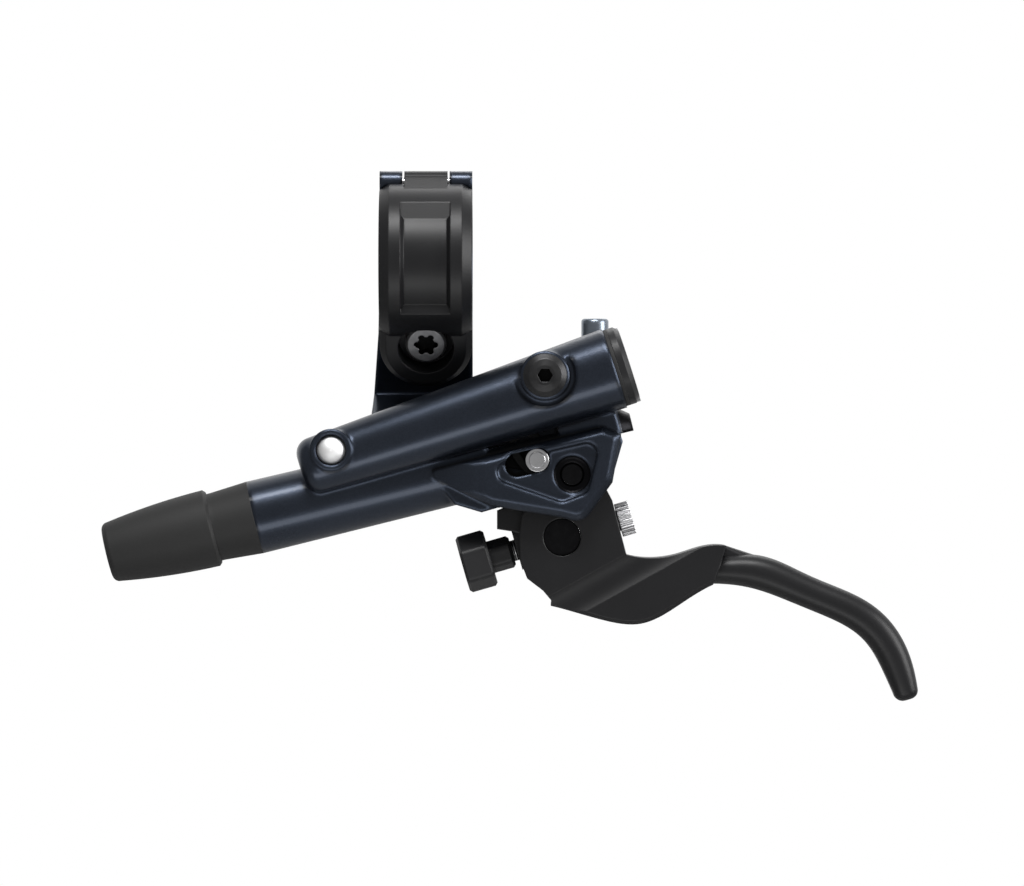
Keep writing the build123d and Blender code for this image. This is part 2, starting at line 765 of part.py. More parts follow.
with BuildPart() as reservoir_bladder:
    with BuildSketch(reservoir_cross.offset(reservoir_length)):
        with Locations((reservoir_y_right, 0)):
            RectangleRounded(lid_depth, lid_height, lid_corner)
        with Locations(*screw_places):
            Circle(lid_screw_radius, mode=Mode.SUBTRACT)
    extrude(amount=bladder_flange)
    with BuildSketch(reservoir_cross.offset(lid_inner)):
        with Locations((reservoir_y_right, 0)):
            RectangleRounded(
                cavity_depth - 2 * bladder_clearance,
                cavity_height - 2 * bladder_clearance,
                cavity_corner - bladder_clearance,
            )
    extrude(amount=-bladder_depth - bladder_flange)
    with BuildSketch(reservoir_cross.offset(lid_inner)):
        with Locations((reservoir_y_right, 0)):
            RectangleRounded(
                cavity_depth - 2 * bladder_clearance - 2 * bladder_flange,
                cavity_height - 2 * bladder_clearance - 2 * bladder_flange,
                cavity_corner - bladder_clearance - bladder_flange,
            )
    extrude(amount=-bladder_depth, mode=Mode.SUBTRACT)
finish(reservoir_bladder, "reservoir_bladder")

# Two screws that hold the lid
for name, place in zip(("lid_screw_lower", "lid_screw_upper"), screw_places):
    with BuildPart() as lid_screw:
        head_plane = reservoir_cross.offset(lid_inner + lid_thickness - lid_screw_sink)
        extrude(disc(head_plane, lid_screw_head, place), amount=lid_screw_sink)
        extrude(disc(head_plane, lid_screw_radius, place), amount=-lid_screw_length)
        with BuildSketch(head_plane.offset(lid_screw_sink)):
            with Locations(place):
                RegularPolygon(lid_screw_radius, 6)
        extrude(amount=-lid_screw_sink / 2, mode=Mode.SUBTRACT)
    finish(lid_screw, name)

# Bleed screw with a domed head, on its sealing ring
bleed_plane = Plane.XZ.offset(-bleed_face)
bleed_side = Plane(origin=(bleed_x, bleed_face, bleed_z), x_dir=(0, -1, 0), z_dir=(1, 0, 0))
bleed_axis = Axis(bleed_side.origin, bleed_side.x_dir)
bleed_head = [(bleed_seat, 0), (bleed_seat, bleed_head_radius)]
for rise, width in bleed_dome:
    bleed_head.append((bleed_seat + bleed_head_height * rise, bleed_head_radius * width))
bleed_head.append((bleed_seat + bleed_head_height, 0))
with BuildPart() as bleed_screw:
    revolve(outline(bleed_side, bleed_head), axis=bleed_axis)
    extrude(
        disc(bleed_plane.offset(bleed_seat), bleed_shank_radius, bleed_place),
        amount=-bleed_shank_length - bleed_seat,
    )
    with BuildSketch(bleed_plane.offset(bleed_seat + bleed_head_height)):
        with Locations(bleed_place):
            RegularPolygon(bleed_hex / 2, 6, major_radius=False)
    extrude(amount=-bleed_hex_depth, mode=Mode.SUBTRACT)
finish(bleed_screw, "bleed_screw")

with BuildPart() as bleed_screw_seal:
    with BuildSketch(bleed_plane):
        with Locations(bleed_place):
            Circle(bleed_head_radius - bleed_ring_radius)
            Circle(bleed_shank_radius, mode=Mode.SUBTRACT)
    extrude(amount=bleed_seat)
finish(bleed_screw_seal, "bleed_screw_seal")

# Ball pressed into the end of a drilled passage
with BuildPart() as sealing_ball:
    ball_centre = Plane(origin=(ball_x, ball_face - ball_stand + ball_radius, ball_z))
    with BuildSketch(ball_centre):
        Circle(ball_radius)
        with Locations((-ball_radius, 0)):
            Rectangle(2 * ball_radius, 2 * ball_radius, mode=Mode.SUBTRACT)
    revolve(axis=Axis(ball_centre.origin, (0, 1, 0)))
finish(sealing_ball, "sealing_ball")

# Hose connection: gland nut and olive inside a rubber boot
gland_start = spigot_end + gland_length
with BuildPart() as connecting_bolt:
    extrude(ring(cylinder_cross.offset(spigot_end), gland_radius, hose_hole_radius), amount=gland_length)
    with BuildSketch(cylinder_cross.offset(spigot_end - gland_head)):
        RegularPolygon(gland_hex / 2, 6, major_radius=False)
        Circle(hose_hole_radius, mode=Mode.SUBTRACT)
    extrude(amount=gland_head)
finish(connecting_bolt, "connecting_bolt")

with BuildPart() as olive:
    olive_profile = [
        (gland_start, hose_hole_radius),
        (gland_start, olive_radius - olive_bevel),
        (gland_start + olive_length / 2, olive_radius),
        (gland_start + olive_length, olive_radius - olive_bevel),
        (gland_start + olive_length, hose_hole_radius),
    ]
    revolve(outline(cylinder_side, olive_profile), axis=cylinder_axis)
finish(olive, "olive")

boot_end = tube_shoulder - boot_length
boot_groove_end = tube_shoulder - boot_collar_length
boot_groove_start = boot_groove_end - boot_groove_width
boot_cavity = gland_hex / sqrt(3) + boot_room
boot_cavity_start = spigot_end - gland_head - boot_room
sleeve_start = (boot_end + boot_end_round, boot_end_radius)
sleeve_middle = ((boot_end + boot_groove_start) / 2, boot_belly_radius)
sleeve_end = (boot_groove_start - boot_lip_round, boot_lip_radius)
with BuildPart() as hose_boot:
    with BuildSketch(cylinder_side):
        with BuildLine():
            Line((boot_end, hose_hole_radius), (boot_end, boot_end_radius - boot_end_round))
            TangentArc((boot_end, boot_end_radius - boot_end_round), sleeve_start, tangent=(0, 1))
            ThreePointArc(sleeve_start, sleeve_middle, sleeve_end)
            Polyline(
                sleeve_end,
                (boot_groove_start, boot_lip_radius - boot_lip_round),
                (boot_groove_start, boot_groove_radius),
                (boot_groove_end, boot_groove_radius),
                (tube_shoulder, boot_collar_radius),
                (tube_shoulder, spigot_radius + boot_fit),
                (spigot_end, spigot_radius + boot_fit),
                (spigot_end, boot_cavity),
                (boot_cavity_start, boot_cavity),
                (boot_cavity_start, hose_hole_radius),
                (boot_end, hose_hole_radius),
            )
        make_face()
    revolve(axis=cylinder_axis)
finish(hose_boot, "hose_boot")

# Lever pivot
pin_front = pivot_floor + pin_end_gap
pin_back = yoke_outside + 2 * pin_clip_thickness
with BuildPart() as pivot_pin:
    extrude(disc(Plane.XZ.offset(-pin_back), pivot_radius, pivot_place), amount=pin_back + pin_front)
finish(pivot_pin, "pivot_pin")

with BuildPart() as pivot_clip:
    with BuildSketch(Plane.XZ.offset(-yoke_outside)):
        with Locations(pivot_place):
            Circle(pin_clip_radius)
            Circle(pivot_radius, mode=Mode.SUBTRACT)
        with Locations((pivot_x, pivot_z - pin_clip_radius)):
            Rectangle(pin_clip_slot, pin_clip_radius * 2, mode=Mode.SUBTRACT)
    extrude(amount=-pin_clip_thickness)
finish(pivot_clip, "pivot_clip")

# Piston with its two seals, held by a ring in the mouth of the bore
piston_radius = piston_bore_radius - piston_clearance
piston_end = ring_place - piston_stop_gap
piston_start = piston_end - piston_length
seal_floor = piston_radius - seal_depth
seal_places = {"primary_seal": piston_start + seal_width, "secondary_seal": piston_end - seal_back}
piston_profile = [
    (piston_start, 0),
    (piston_start, piston_radius),
    (piston_end, piston_radius),
    (piston_end, pushrod_radius + piston_clearance),
    (piston_end - pushrod_socket, pushrod_radius + piston_clearance),
    (piston_end - pushrod_socket, 0),
]
with BuildPart() as piston:
    revolve(outline(cylinder_side, piston_profile), axis=cylinder_axis)
    for place in seal_places.values():
        extrude(
            ring(cylinder_cross.offset(place), piston_bore_radius, seal_floor),
            amount=seal_width,
            mode=Mode.SUBTRACT,
        )
finish(piston, "piston")

for name, place in seal_places.items():
    with BuildPart() as seal:
        extrude(
            ring(cylinder_cross.offset(place), piston_bore_radius - seal_clearance, seal_floor),
            amount=seal_width,
        )
    finish(seal, name)

with BuildPart() as piston_ring:
    extrude(
        ring(cylinder_cross.offset(ring_place), piston_bore_radius + ring_groove, ring_inner_radius),
        amount=ring_thickness,
    )
finish(piston_ring, "piston_ring")

# Pushrod from the piston to the cam pin, flat where it runs inside the link
rod_flat_start = slot_left + piston_stroke - ring_groove
rod_flat = [
    (rod_flat_start, pushrod_radius),
    (cam_local.X, cam_local.Y + pushrod_eye_radius),
    (cam_local.X, cam_local.Y - pushrod_eye_radius),
    (rod_flat_start, -pushrod_radius),
]
with BuildPart() as pushrod:
    rod_start = piston_end - pushrod_socket
    extrude(disc(cylinder_cross.offset(rod_start), pushrod_radius), amount=rod_flat_start - rod_start)
    extrude(outline(cylinder_side, rod_flat), amount=pushrod_half_width, both=True)
    extrude(disc(Plane.XZ, pushrod_eye_radius, cam_place), amount=pushrod_half_width, both=True)
    extrude(disc(Plane.XZ, cam_pin_radius, cam_place), amount=yoke_inside, both=True, mode=Mode.SUBTRACT)
finish(pushrod, "pushrod")

with BuildPart() as cam_pin:
    cam_back = yoke_outside - guide_floor - pin_end_gap
    extrude(disc(Plane.XZ.offset(-cam_back), cam_pin_radius, cam_place), amount=cam_back + yoke_outside)
finish(cam_pin, "cam_pin")

roller_start = yoke_inside + pivot_clearance
roller_ends = {
    "cam_roller_front": (1, yoke_outside - pin_end_gap),
    "cam_roller_back": (-1, cam_back),
}
for name, (side, roller_end) in roller_ends.items():
    with BuildPart() as roller:
        with BuildSketch(Plane.XZ.offset(side * roller_start)):
            with Locations(cam_place):
                Circle(roller_radius)
                Circle(cam_pin_radius, mode=Mode.SUBTRACT)
        extrude(amount=side * (roller_end - roller_start))
    finish(roller, name)


# Lever link: two cam cheeks on a hub, an arm with a stop nose, and the lug of the reach screw
screw_along = crosswise(nut_x, nut_z, screw_tilt)
bush_radius = pivot_radius + pivot_clearance + bush_wall
with BuildPart() as lever_link:
    with BuildSketch(Plane.XZ):
        with BuildLine(mode=Mode.PRIVATE) as track:
            ThreePointArc(cam_track(-1), cam_track(pull_angle / 2), cam_track(pull_angle + 1))
        with Locations(pivot_place):
            Circle(link_hub_radius)
        SlotArc(track.edges()[0], 2 * (cam_room + link_wall))
        Polygon(*from_pivot(link_arm), align=None)
        with BuildLine(mode=Mode.PRIVATE) as neck:
            Line(pivot_place, cam_track(pull_angle / 2))
        SlotArc(neck.edges()[0], 2 * (cam_room + link_wall))
        SlotArc(track.edges()[0], 2 * cam_room, mode=Mode.SUBTRACT)
    extrude(amount=link_outside, both=True)
    lug_start = screw_lug_place - screw_lug_length / 2
    with BuildSketch(screw_along.offset(lug_start)):
        RectangleRounded(2 * link_outside, 2 * screw_lug_radius, screw_lug_length / 2)
    extrude(amount=screw_lug_length)
    with BuildSketch(Plane.XZ):
        reach = 4 * link_hub_radius
        floor = -link_wall / 2
        Polygon(*from_pivot([(-reach, floor), (0, floor), (0, reach), (-reach, reach)]), align=None)
        with Locations(pivot_place):
            Circle(bush_radius + link_wall / 2, mode=Mode.SUBTRACT)
    extrude(amount=link_inside, both=True, mode=Mode.SUBTRACT)
    extrude(disc(Plane.XZ, bush_radius, pivot_place), amount=link_outside, both=True, mode=Mode.SUBTRACT)
    extrude(
        disc(screw_along.offset(lug_start), screw_radius + screw_clearance),
        amount=screw_lug_length,
        mode=Mode.SUBTRACT,
    )
finish(lever_link, "lever_link")


def pivot_bush(start, length, name):
    """Plain bush round the lever pivot."""
    with BuildPart() as bush:
        with BuildSketch(Plane.XZ.offset(start)):
            with Locations(pivot_place):
                Circle(bush_radius)
                Circle(pivot_radius + pivot_clearance, mode=Mode.SUBTRACT)
        extrude(amount=length)
    finish(bush, name)


pivot_bush(-link_outside, 2 * link_outside, "link_bush")
pivot_bush(fork_inside, fork_outside - fork_inside, "blade_bush_front")
pivot_bush(-fork_outside, fork_outside - fork_inside, "blade_bush_back")

# Lever blade: forked root on the pivot, running out into a rounded finger hook
with BuildPart() as lever_blade:
    with BuildSketch(Plane.XZ):
        with BuildLine():
            Polyline(*from_pivot(root_left + root_bottom[:1]))
            Spline(*from_pivot(root_bottom))
            Polyline(*from_pivot([root_bottom[-1], root_top[0]]))
            Spline(*from_pivot(root_top))
            Polyline(*from_pivot(root_right + root_left[:1]))
        make_face()
        with Locations(pivot_place):
            Circle(fork_hub_radius)
    extrude(amount=fork_outside, both=True)
    chamfer(faces().filter_by(Axis.Y).edges().sort_by(Axis.Z)[:2], root_edge)
    for place, tilt, thickness, width in finger:
        x, z = from_pivot([place])[0]
        with BuildSketch(crosswise(x, z, tilt)):
            RectangleRounded(width, thickness, (thickness - finger_flat) / 2)
    loft()
    tip_plane = crosswise(x, z, tilt)
    fillet(faces().sort_by(Axis(tip_plane.origin, tip_plane.z_dir))[-1].edges(), finger_tip)
    flute_x, flute_z = from_pivot([flute_centre])[0]
    flute_plane = crosswise(flute_x, flute_z, flute_tilt, -fork_outside - flute_radius + flute_depth)
    extrude(disc(flute_plane, flute_radius), amount=flute_length, both=True, mode=Mode.SUBTRACT)
    dimple_x, dimple_z = from_pivot([dimple_centre])[0]
    with Locations((dimple_x, -fork_outside - dimple_height, dimple_z)):
        Sphere(dimple_radius, mode=Mode.SUBTRACT)
    with BuildSketch(Plane.XZ):
        top = [(fork_floor[-1][0], fork_hub_radius * 2), (fork_floor[0][0], fork_hub_radius * 2)]
        Polygon(*from_pivot(fork_floor + top), align=None)
    extrude(amount=fork_inside, both=True, mode=Mode.SUBTRACT)
    extrude(disc(Plane.XZ, bush_radius, pivot_place), amount=fork_outside, both=True, mode=Mode.SUBTRACT)
    extrude(
        disc(Plane.XZ, nut_radius + nut_clearance, (nut_x, nut_z)),
        amount=fork_outside,
        both=True,
        mode=Mode.SUBTRACT,
    )
finish(lever_blade, "lever_blade")

# Reach adjuster: barrel nut in the blade, screw with a six-sided knob in the link
nut_half = fork_outside - nut_end_sink
with BuildPart() as barrel_nut:
    extrude(disc(Plane.XZ, nut_radius, (nut_x, nut_z)), amount=nut_half, both=True)
    extrude(disc(screw_along, screw_radius + screw_play), amount=nut_radius, both=True, mode=Mode.SUBTRACT)
finish(barrel_nut, "barrel_nut")

screw_axis = Axis(screw_along.origin, screw_along.z_dir)


def knob_outline(plane, radius):
    """Six-sided outline with rounded corners."""
    with BuildSketch(plane) as face:
        RegularPolygon(radius, knob_sides, rotation=knob_turn)
        fillet(face.vertices(), knob_corner)
    return face.sketch


neck_start = knob_place - knob_neck_length
head_start = neck_start - knob_length
with BuildPart() as reach_knob:
    extrude(knob_outline(screw_along.offset(head_start), knob_radius), amount=knob_length)
    for end in (0, -1):
        chamfer(faces().sort_by(screw_axis)[end].edges(), knob_edge)
    extrude(knob_outline(screw_along.offset(neck_start), knob_neck_radius), amount=knob_neck_length)
    chamfer(faces().sort_by(screw_axis)[-1].edges(), knob_edge)
    extrude(disc(screw_along.offset(neck_start), screw_radius), amount=knob_neck_length, mode=Mode.SUBTRACT)
finish(reach_knob, "reach_knob")

with BuildPart() as reach_screw:
    screw_length = screw_end_place + screw_end_length - neck_start
    extrude(disc(screw_along.offset(neck_start), screw_radius), amount=screw_length)
finish(reach_screw, "reach_screw")

with BuildPart() as reach_screw_end:
    end_plane = screw_along.offset(screw_end_place)
    with BuildSketch(end_plane):
        Circle(screw_end_radius)
        Circle(screw_radius, mode=Mode.SUBTRACT)
        with PolarLocations(screw_end_radius, screw_end_grooves):
            Circle(screw_end_groove, mode=Mode.SUBTRACT)
    extrude(amount=screw_end_length)
finish(reach_screw_end, "reach_screw_end")
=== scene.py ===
import json
from math import pi, radians

import bmesh
import bpy
from mathutils import Matrix, Vector


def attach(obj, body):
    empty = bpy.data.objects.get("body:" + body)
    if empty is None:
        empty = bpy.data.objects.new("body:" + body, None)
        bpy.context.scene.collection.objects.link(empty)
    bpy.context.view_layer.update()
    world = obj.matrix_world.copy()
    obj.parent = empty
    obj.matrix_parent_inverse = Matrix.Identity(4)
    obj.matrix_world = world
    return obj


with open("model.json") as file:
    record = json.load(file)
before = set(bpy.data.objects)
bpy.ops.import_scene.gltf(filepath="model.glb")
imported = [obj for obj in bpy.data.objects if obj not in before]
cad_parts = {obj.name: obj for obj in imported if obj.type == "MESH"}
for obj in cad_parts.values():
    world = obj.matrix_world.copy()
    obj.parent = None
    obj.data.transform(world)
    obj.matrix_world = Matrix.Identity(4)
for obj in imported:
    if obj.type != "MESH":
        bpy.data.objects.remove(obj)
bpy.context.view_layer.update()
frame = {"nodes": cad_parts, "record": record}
nodes = frame["nodes"]

# Round places painted another colour than their finish: a painted highlight on the post top, and
# painted shade in the pivot seat, at the cylinder nose and in the wrench sockets. Start, axis,
# radius and length, in metres
POST_TOP = ((0.03216, 0.0046, -0.0150), (0, 0, 1), 0.0028, 0.006)
PIVOT_SEAT = ((0.0277, -0.0084, -0.0407), (0, 1, 0), 0.0036, 0.0020)
CYLINDER_NOSE = ((0.03655, 0, -0.03221), (0.97196, 0, 0.23514), 0.00415, 0.005)
BLEED_SOCKET = ((0.022534, -0.0188, -0.022104), (0, 1, 0), 0.0018, 0.0018)
BOLT_SOCKET = ((0, 0.000604, -0.016048), (0, 0.866025, 0.5), 0.003, 0.003)

# Colours of those places: the post top's painted highlight, black painted shade for the pivot
# seat and cylinder nose, and black painted shade for the wrench sockets
POST_HIGHLIGHT = (0.20, 0.23, 0.27)
SHADE_BLACK = (0.004, 0.004, 0.005)
SOCKET_SHADE = (0.003, 0.003, 0.003)

# Radii that the finishes round edges by, in metres
COAT_EDGE = 0.0013
ANODISE_EDGE = 0.0004
THREAD_EDGE = 0.0001
FINE_EDGE = 0.00025
EDGE_SAMPLES = 16

# Turns of the lines on bare metal
ACROSS = (0, 0, pi / 2)
ALONG = (0, 0, 0)

# Reach screw
THREAD_PITCH = 0.0007
SCREW_TILT = radians(16)

# Ends of the neck on the blade: height, width, corner, fall in degrees and centre, in metres
NECK_ENDS = (
    (0.0073, 0.0084, 0.0005, 18.7, (0.05533, 0.0016, -0.05758)),
    (0.0056, 0.0076, 0.0020, 19.0, (0.06447, 0.0010, -0.05966)),
)
CORNER_SEGMENTS = 6
SHARP_ANGLE = radians(35)

# Camera
LENS_MM = 222.0
SENSOR_MM = 36.0
FAR_CLIP = 20.0
CAMERA_PLACE = (0.01634, -1.2, -0.03477)

# Studio
ROOM_STRENGTH = 0.32
FIBRE_SCALE = 40.0
PAPER_TONES = ((0.86, 0.86, 0.86), (0.88, 0.88, 0.88))
FLOOR_SIZE = 6.0
FLOOR_PLACE = (0, 0, -1.0)
BACKDROP_SIZE = 5.0
BACKDROP_PLACE = (0, 2.0, 4.5)
LIT_POINT = (0.015, 0, -0.035)


class Wire:
    """An output socket of a finish. Sums on wires add Math nodes."""

    def __init__(self, finish, socket):
        self.finish = finish
        self.socket = socket

    def math(self, operation, first, second):
        return self.finish.node("ShaderNodeMath", {"operation": operation}, {0: first, 1: second})

    def __add__(self, other):
        return self.math("ADD", self, other)

    def __radd__(self, other):
        return self.math("ADD", other, self)

    def __sub__(self, other):
        return self.math("SUBTRACT", self, other)

    def __rsub__(self, other):
        return self.math("SUBTRACT", other, self)

    def __mul__(self, other):
        return self.math("MULTIPLY", self, other)

    def __rmul__(self, other):
        return self.math("MULTIPLY", other, self)

    def __gt__(self, other):
        return self.math("GREATER_THAN", self, other)

    def __lt__(self, other):
        return self.math("LESS_THAN", self, other)


class Finish:
    """One material while its nodes are laid out."""

    def __init__(self, name):
        self.material = bpy.data.materials.new(name)
        self.material.use_nodes = True
        self.tree = self.material.node_tree
        self.tree.nodes.clear()
        self.place = self.node("ShaderNodeTexCoord", {}, {}, "Object")

    def node(self, kind, settings, sockets, output=0):
        """Any node: its settings first, then the values or wires of its sockets."""
        made = self.tree.nodes.new(kind)
        for key, value in settings.items():
            setattr(made, key, value)
        for key, value in sockets.items():
            if isinstance(value, Wire):
                self.tree.links.new(value.socket, made.inputs[key])
            else:
                made.inputs[key].default_value = value
        return Wire(self, made.outputs[output]) if made.outputs else None

    def noise(self, scale, detail=2.0, roughness=0.5):
        """Soft cloudy pattern of 0 to 1, with its scale in cells per metre."""
        pattern = {"Vector": self.place, "Scale": scale, "Detail": detail, "Roughness": roughness}
        return self.node("ShaderNodeTexNoise", {}, pattern)

    def grains(self, scale):
        """Random value per small cell."""
        cells = {"Vector": self.place, "Scale": scale}
        colour = self.node("ShaderNodeTexVoronoi", {}, cells, "Color")
        return self.node("ShaderNodeSeparateColor", {}, {"Color": colour})

    def stretched(self, scales, turn):
        """Noise drawn out along a direction, for drawn and turned metal."""
        drawn = {"Vector": self.place, "Rotation": turn, "Scale": scales}
        mapped = self.node("ShaderNodeMapping", {}, drawn)
        pattern = {"Vector": mapped, "Scale": 1.0, "Detail": 3.0}
        return self.node("ShaderNodeTexNoise", {}, pattern)

    def between(self, share, first, second):
        """Colour that runs from the first to the second."""
        ends = [end if isinstance(end, Wire) else (*end, 1) for end in (first, second)]
        inputs = {0: share, 6: ends[0], 7: ends[1]}
        return self.node("ShaderNodeMix", {"data_type": "RGBA"}, inputs, 2)

    def threads(self, pitch, turn):
        """Ridges of a thread, 0 to 1, across a turned axis."""
        mapped = self.node("ShaderNodeMapping", {}, {"Vector": self.place, "Rotation": turn})
        ridges = {"Vector": mapped, "Scale": pi / (10 * pitch)}
        return self.node("ShaderNodeTexWave", {}, ridges, "Fac")

    def vectors(self, operation, inputs, output="Vector"):
        """Vector Math on its inputs."""
        sockets = dict(enumerate(inputs))
        return self.node("ShaderNodeVectorMath", {"operation": operation}, sockets, output)

    def drum(self, start, heading, radius, length):
        """1 inside a round drum given by its start, axis, radius and length, 0 outside."""
        offset = self.vectors("SUBTRACT", (self.place, start))
        along = self.vectors("DOT_PRODUCT", (offset, heading), "Value")
        sideways = self.vectors("CROSS_PRODUCT", (offset, heading))
        across = self.vectors("LENGTH", (sideways,), "Value")
        return (across < radius) * (along > 0.0) * (along < length)

    def bump(self, height, strength, depth, edge=FINE_EDGE):
        """Fine relief over edges that are rounded by a small radius."""
        rounded = self.node("ShaderNodeBevel", {"samples": EDGE_SAMPLES}, {"Radius": edge})
        relief = {"Height": height, "Strength": strength, "Distance": depth, "Normal": rounded}
        return self.node("ShaderNodeBump", {}, relief)

    def done(self, **sockets):
        """Close the finish with its shader."""
        values = {name.replace("_", " "): value for name, value in sockets.items()}
        shader = self.node("ShaderNodeBsdfPrincipled", {}, values)
        self.node("ShaderNodeOutputMaterial", {}, {"Surface": shader})
        return self.material


def slate_coat():
    """Dark blue-grey metallic paint with fine flakes, a painted highlight on the post top, and
    black painted shade in the pivot seat and at the cylinder nose.
    """
    coat = Finish("slate_blue_coat")
    flakes = coat.grains(7000.0)
    clouds = coat.noise(90.0, 3.0)
    peel = coat.noise(1500.0)
    # painted highlight: the post top is lighter, as if the top light falls on it
    post_top = coat.drum(*POST_TOP)
    # painted shade: black in the pivot seat's counterbore and at the cylinder nose
    painted_shade = coat.drum(*PIVOT_SEAT) + coat.drum(*CYLINDER_NOSE)
    mottle = flakes * 0.45 + clouds * 0.55
    paint = coat.between(mottle, (0.022, 0.028, 0.040), (0.036, 0.044, 0.062))
    paint_with_post_highlight = coat.between(post_top, paint, POST_HIGHLIGHT)
    return coat.done(
        Base_Color=coat.between(painted_shade, paint_with_post_highlight, SHADE_BLACK),
        Metallic=0.88,
        Roughness=0.25 + clouds * 0.08 + flakes * 0.06,
        Coat_Weight=0.2 - 0.2 * painted_shade,
        Coat_Roughness=0.15,
        Normal=coat.bump(peel, 0.10, 0.00008, COAT_EDGE),
    )


def black_anodise():
    """Satin black on blasted aluminium: a fine even grain, a little cloudy."""
    black = Finish("black_anodise")
    grain = black.noise(5200.0, 3.0, 0.6)
    clouds = black.noise(70.0, 3.0)
    mottle = clouds * 0.6 + grain * 0.4
    return black.done(
        Base_Color=black.between(mottle, (0.0050, 0.0050, 0.0056), (0.0090, 0.0090, 0.0100)),
        Roughness=0.34 + clouds * 0.10 + grain * 0.06,
        Specular_IOR_Level=0.32,
        Normal=black.bump(grain, 0.16, 0.00005, ANODISE_EDGE),
    )


def black_steel(name, dark, light, socket=None):
    """Oxide-black steel with worn, slightly paler patches. A wrench socket gets black painted
    shade inside.
    """
    steel = Finish(name)
    wear = steel.noise(650.0, 4.0, 0.6)
    fine = steel.noise(6000.0)
    colour = steel.between(wear, dark, light)
    if socket:
        # painted shade: black inside the wrench socket
        colour = steel.between(steel.drum(*socket), colour, SOCKET_SHADE)
    return steel.done(
        Base_Color=colour,
        Metallic=0.8,
        Roughness=0.30 + wear * 0.16 + fine * 0.05,
        Specular_IOR_Level=0.3,
        Normal=steel.bump(fine, 0.1, 0.00004),
    )


def bright_metal(name, turn, dark, light, roughness):
    """Bare metal with the fine lines of turning or drawing."""
    metal = Finish(name)
    lines = metal.stretched((300.0, 9000.0, 9000.0), turn)
    stain = metal.noise(420.0, 3.0)
    return metal.done(
        Base_Color=metal.between(lines * 0.5 + stain * 0.5, dark, light),
        Metallic=1.0,
        Roughness=roughness + lines * 0.12 + stain * 0.06,
        Normal=metal.bump(lines, 0.1, 0.00003),
    )


def cut_thread():
    """Bright steel with the ridges of the reach screw's thread, with painted shade in its grooves
    and a painted highlight on its crests.
    """
    steel = Finish("reach_screw_thread")
    ridges = steel.threads(THREAD_PITCH, (0, SCREW_TILT, 0))
    stain = steel.noise(900.0, 3.0)
    # painted shade and highlight: thread grooves dark and crests bright in the colour, mixed with
    # real stains
    mottle = ridges * 0.7 + stain * 0.3
    return steel.done(
        Base_Color=steel.between(mottle, (0.10, 0.10, 0.10), (0.70, 0.70, 0.71)),
        Metallic=1.0,
        Roughness=0.26 + stain * 0.12,
        Normal=steel.bump(ridges, 0.8, 0.0003, THREAD_EDGE),
    )


def moulded(name, dark, light, roughness, grain_scale, depth):
    """Moulded rubber or plastic with a sparked texture."""
    skin = Finish(name)
    grain = skin.noise(grain_scale, 3.0, 0.65)
    clouds = skin.noise(110.0)
    return skin.done(
        Base_Color=skin.between(clouds * 0.6 + grain * 0.4, dark, light),
        Roughness=roughness + clouds * 0.1 - grain * 0.06,
        Specular_IOR_Level=0.3,
        Normal=skin.bump(grain, 0.25, depth),
    )


anodise = black_anodise()
FINISHES = {
    "body_coat": slate_coat(),
    "black_anodised": anodise,
    "black_steel": black_steel(
        "black_oxide_steel", (0.004, 0.004, 0.0045), (0.012, 0.012, 0.013)
    ),
    "bright_steel": bright_metal(
        "turned_steel", ACROSS, (0.50, 0.50, 0.51), (0.72, 0.72, 0.73), 0.2
    ),
    "polished_steel": bright_metal(
        "polished_ball", ALONG, (0.86, 0.86, 0.86), (0.92, 0.92, 0.92), 0.54
    ),
    "soft_rubber": moulded(
        "boot_rubber", (0.013, 0.013, 0.013), (0.024, 0.024, 0.024), 0.60, 4200.0, 0.00008
    ),
    "black_plastic": moulded(
        "black_nylon", (0.008, 0.008, 0.009), (0.016, 0.016, 0.017), 0.42, 3600.0, 0.00005
    ),
    "pale_plastic": moulded(
        "pale_resin", (0.30, 0.28, 0.25), (0.40, 0.38, 0.34), 0.45, 2600.0, 0.00005
    ),
    "olive_brass": bright_metal(
        "olive_brass", ACROSS, (0.48, 0.34, 0.13), (0.66, 0.50, 0.22), 0.25
    ),
}
# Pieces that differ from the rest of their slot
OWN_FINISHES = {
    "clamp_bolt": black_steel(
        "grey_bolt_steel", (0.12, 0.12, 0.125), (0.30, 0.30, 0.305), BOLT_SOCKET
    ),
    "bleed_screw": black_steel(
        "bleed_screw_steel", (0.020, 0.020, 0.021), (0.050, 0.050, 0.051), BLEED_SOCKET
    ),
    "reservoir_lid": moulded(
        "lid_nylon", (0.010, 0.010, 0.011), (0.018, 0.018, 0.019), 0.38, 3600.0, 0.00005
    ),
    "reach_screw": cut_thread(),
}
slot_of = {row["node"]: row["material_slot"] for row in frame["record"]["subparts"]}
for name, node in nodes.items():
    node.data.materials.clear()
    node.data.materials.append(OWN_FINISHES.get(name, FINISHES[slot_of[name]]))


def shoulder_end(shape, height, width, corner, fall, place):
    """Rounded rectangle across the blade, leaning by its fall and set in its place."""
    sheet = bmesh.ops.create_grid(shape, x_segments=1, y_segments=1, size=0.5)["verts"]
    bmesh.ops.scale(shape, verts=sheet, vec=(height, width, 1))
    outline = bmesh.ops.bevel(
        shape,
        geom=sheet,
        offset=corner,
        segments=CORNER_SEGMENTS,
        profile=0.5,
        affect="VERTICES",
        material=-1,
    )["verts"]
    lean = Matrix.Rotation(pi / 2 + radians(fall), 3, "Y")
    bmesh.ops.rotate(shape, verts=outline, matrix=lean)
    bmesh.ops.translate(shape, verts=outline, vec=place)


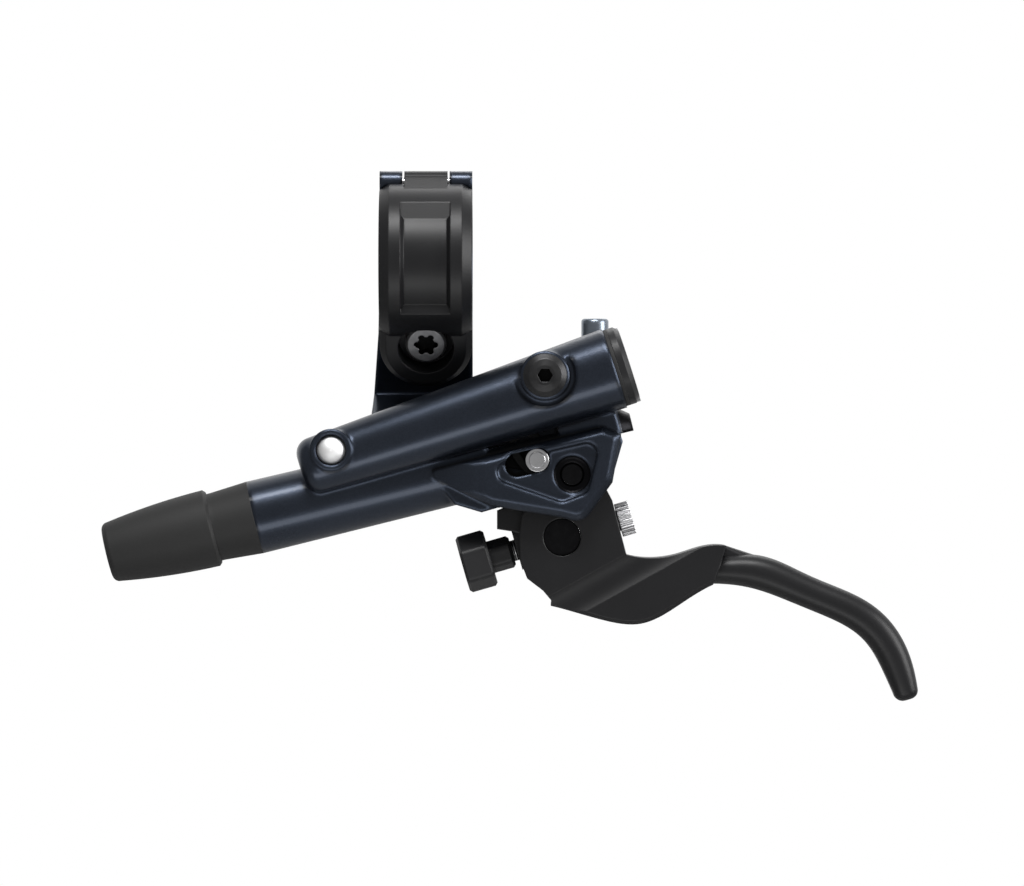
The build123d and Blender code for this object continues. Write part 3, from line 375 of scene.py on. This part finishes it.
def blade_shoulder():
    """Neck from the flat root of the blade into its round finger, behind the near scoop."""
    shape = bmesh.new()
    for end in NECK_ENDS:
        shoulder_end(shape, *end)
    bmesh.ops.bridge_loops(shape, edges=shape.edges)
    bmesh.ops.recalc_face_normals(shape, faces=shape.faces)
    mesh = bpy.data.meshes.new("blade_shoulder")
    shape.to_mesh(mesh)
    shape.free()
    mesh.shade_smooth()
    mesh.set_sharp_from_angle(angle=SHARP_ANGLE)
    mesh.materials.append(anodise)
    shoulder = bpy.data.objects.new("blade_shoulder", mesh)
    bpy.context.scene.collection.objects.link(shoulder)
    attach(shoulder, "blade")


def camera_view():
    """Long lens square to the side of the lever."""
    lens = bpy.data.cameras.new("long_lens")
    lens.lens = LENS_MM
    lens.sensor_width = SENSOR_MM
    lens.clip_end = FAR_CLIP
    camera = bpy.data.objects.new("camera", lens)
    camera.location = CAMERA_PLACE
    camera.rotation_euler = (pi / 2, 0, 0)
    bpy.context.scene.collection.objects.link(camera)
    bpy.context.scene.camera = camera


def softbox(name, place, width, height, watts):
    """Soft rectangular lamp turned to the middle of the lever."""
    lamp = bpy.data.lights.new(name, "AREA")
    lamp.shape = "RECTANGLE"
    lamp.size = width
    lamp.size_y = height
    lamp.energy = watts
    box = bpy.data.objects.new(name, lamp)
    box.location = place
    heading = Vector(LIT_POINT) - Vector(place)
    box.rotation_euler = heading.to_track_quat("-Z", "Y").to_euler()
    box.visible_camera = False
    bpy.context.scene.collection.objects.link(box)


def studio_paper(name):
    """Finish of a studio paper, begun with its matt, faintly fibrous sheet."""
    paper = Finish(name)
    tone = paper.between(paper.noise(FIBRE_SCALE), *PAPER_TONES)
    return paper, paper.node("ShaderNodeBsdfDiffuse", {}, {"Color": tone})


def one_sided(paper, sheet):
    """Close a studio paper that is only there from its front."""
    clear = paper.node("ShaderNodeBsdfTransparent", {}, {})
    behind = paper.node("ShaderNodeNewGeometry", {}, {}, "Backfacing")
    surface = paper.node("ShaderNodeMixShader", {}, {0: behind, 1: sheet, 2: clear})
    paper.node("ShaderNodeOutputMaterial", {}, {"Surface": surface})
    return paper.material


def hang(name, size, turn, place, material):
    """Flat square of studio paper."""
    mesh = bpy.data.meshes.new(name)
    shape = bmesh.new()
    bmesh.ops.create_grid(shape, x_segments=1, y_segments=1, size=size)
    bmesh.ops.rotate(shape, verts=shape.verts, matrix=Matrix.Rotation(turn, 3, "X"))
    bmesh.ops.translate(shape, verts=shape.verts, vec=place)
    shape.to_mesh(mesh)
    shape.free()
    mesh.materials.append(material)
    sheet = bpy.data.objects.new(name, mesh)
    bpy.context.scene.collection.objects.link(sheet)


def studio():
    """Pale floor, a white backdrop behind the lever, a grey room and softboxes."""
    world = bpy.data.worlds.new("grey_room")
    bpy.context.scene.world = world
    world.use_nodes = True
    room = world.node_tree.nodes["Background"]
    room.inputs["Color"].default_value = (1, 1, 1, 1)
    room.inputs["Strength"].default_value = ROOM_STRENGTH

    paper, matt = studio_paper("floor_paper")
    hang("floor", FLOOR_SIZE, 0, FLOOR_PLACE, one_sided(paper, matt))

    paper, matt = studio_paper("backdrop_paper")
    seen = 0
    for ray in ("Is Camera Ray", "Is Glossy Ray", "Is Transmission Ray"):
        path = paper.node("ShaderNodeLightPath", {}, {}, ray)
        seen = path.math("MAXIMUM", path, seen)
    white = paper.node("ShaderNodeEmission", {}, {"Color": (1, 1, 1, 1), "Strength": 1.0})
    sheet = paper.node("ShaderNodeMixShader", {}, {0: seen, 1: matt, 2: white})
    hang("backdrop", BACKDROP_SIZE, pi / 2, BACKDROP_PLACE, one_sided(paper, sheet))

    softbox("top_box", (-0.01, -0.33, 0.53), width=0.36, height=0.15, watts=4.4)
    softbox("low_box", (-0.03, -0.50, -0.43), width=0.5, height=0.2, watts=1.0)
    softbox("right_box", (0.60, -0.22, 0.10), width=0.3, height=0.4, watts=3.4)
    softbox("back_box", (0.1, 0.55, 0.50), width=0.5, height=0.25, watts=1.0)


blade_shoulder()
camera_view()
studio()
bpy.context.scene.view_settings.view_transform = "Standard"
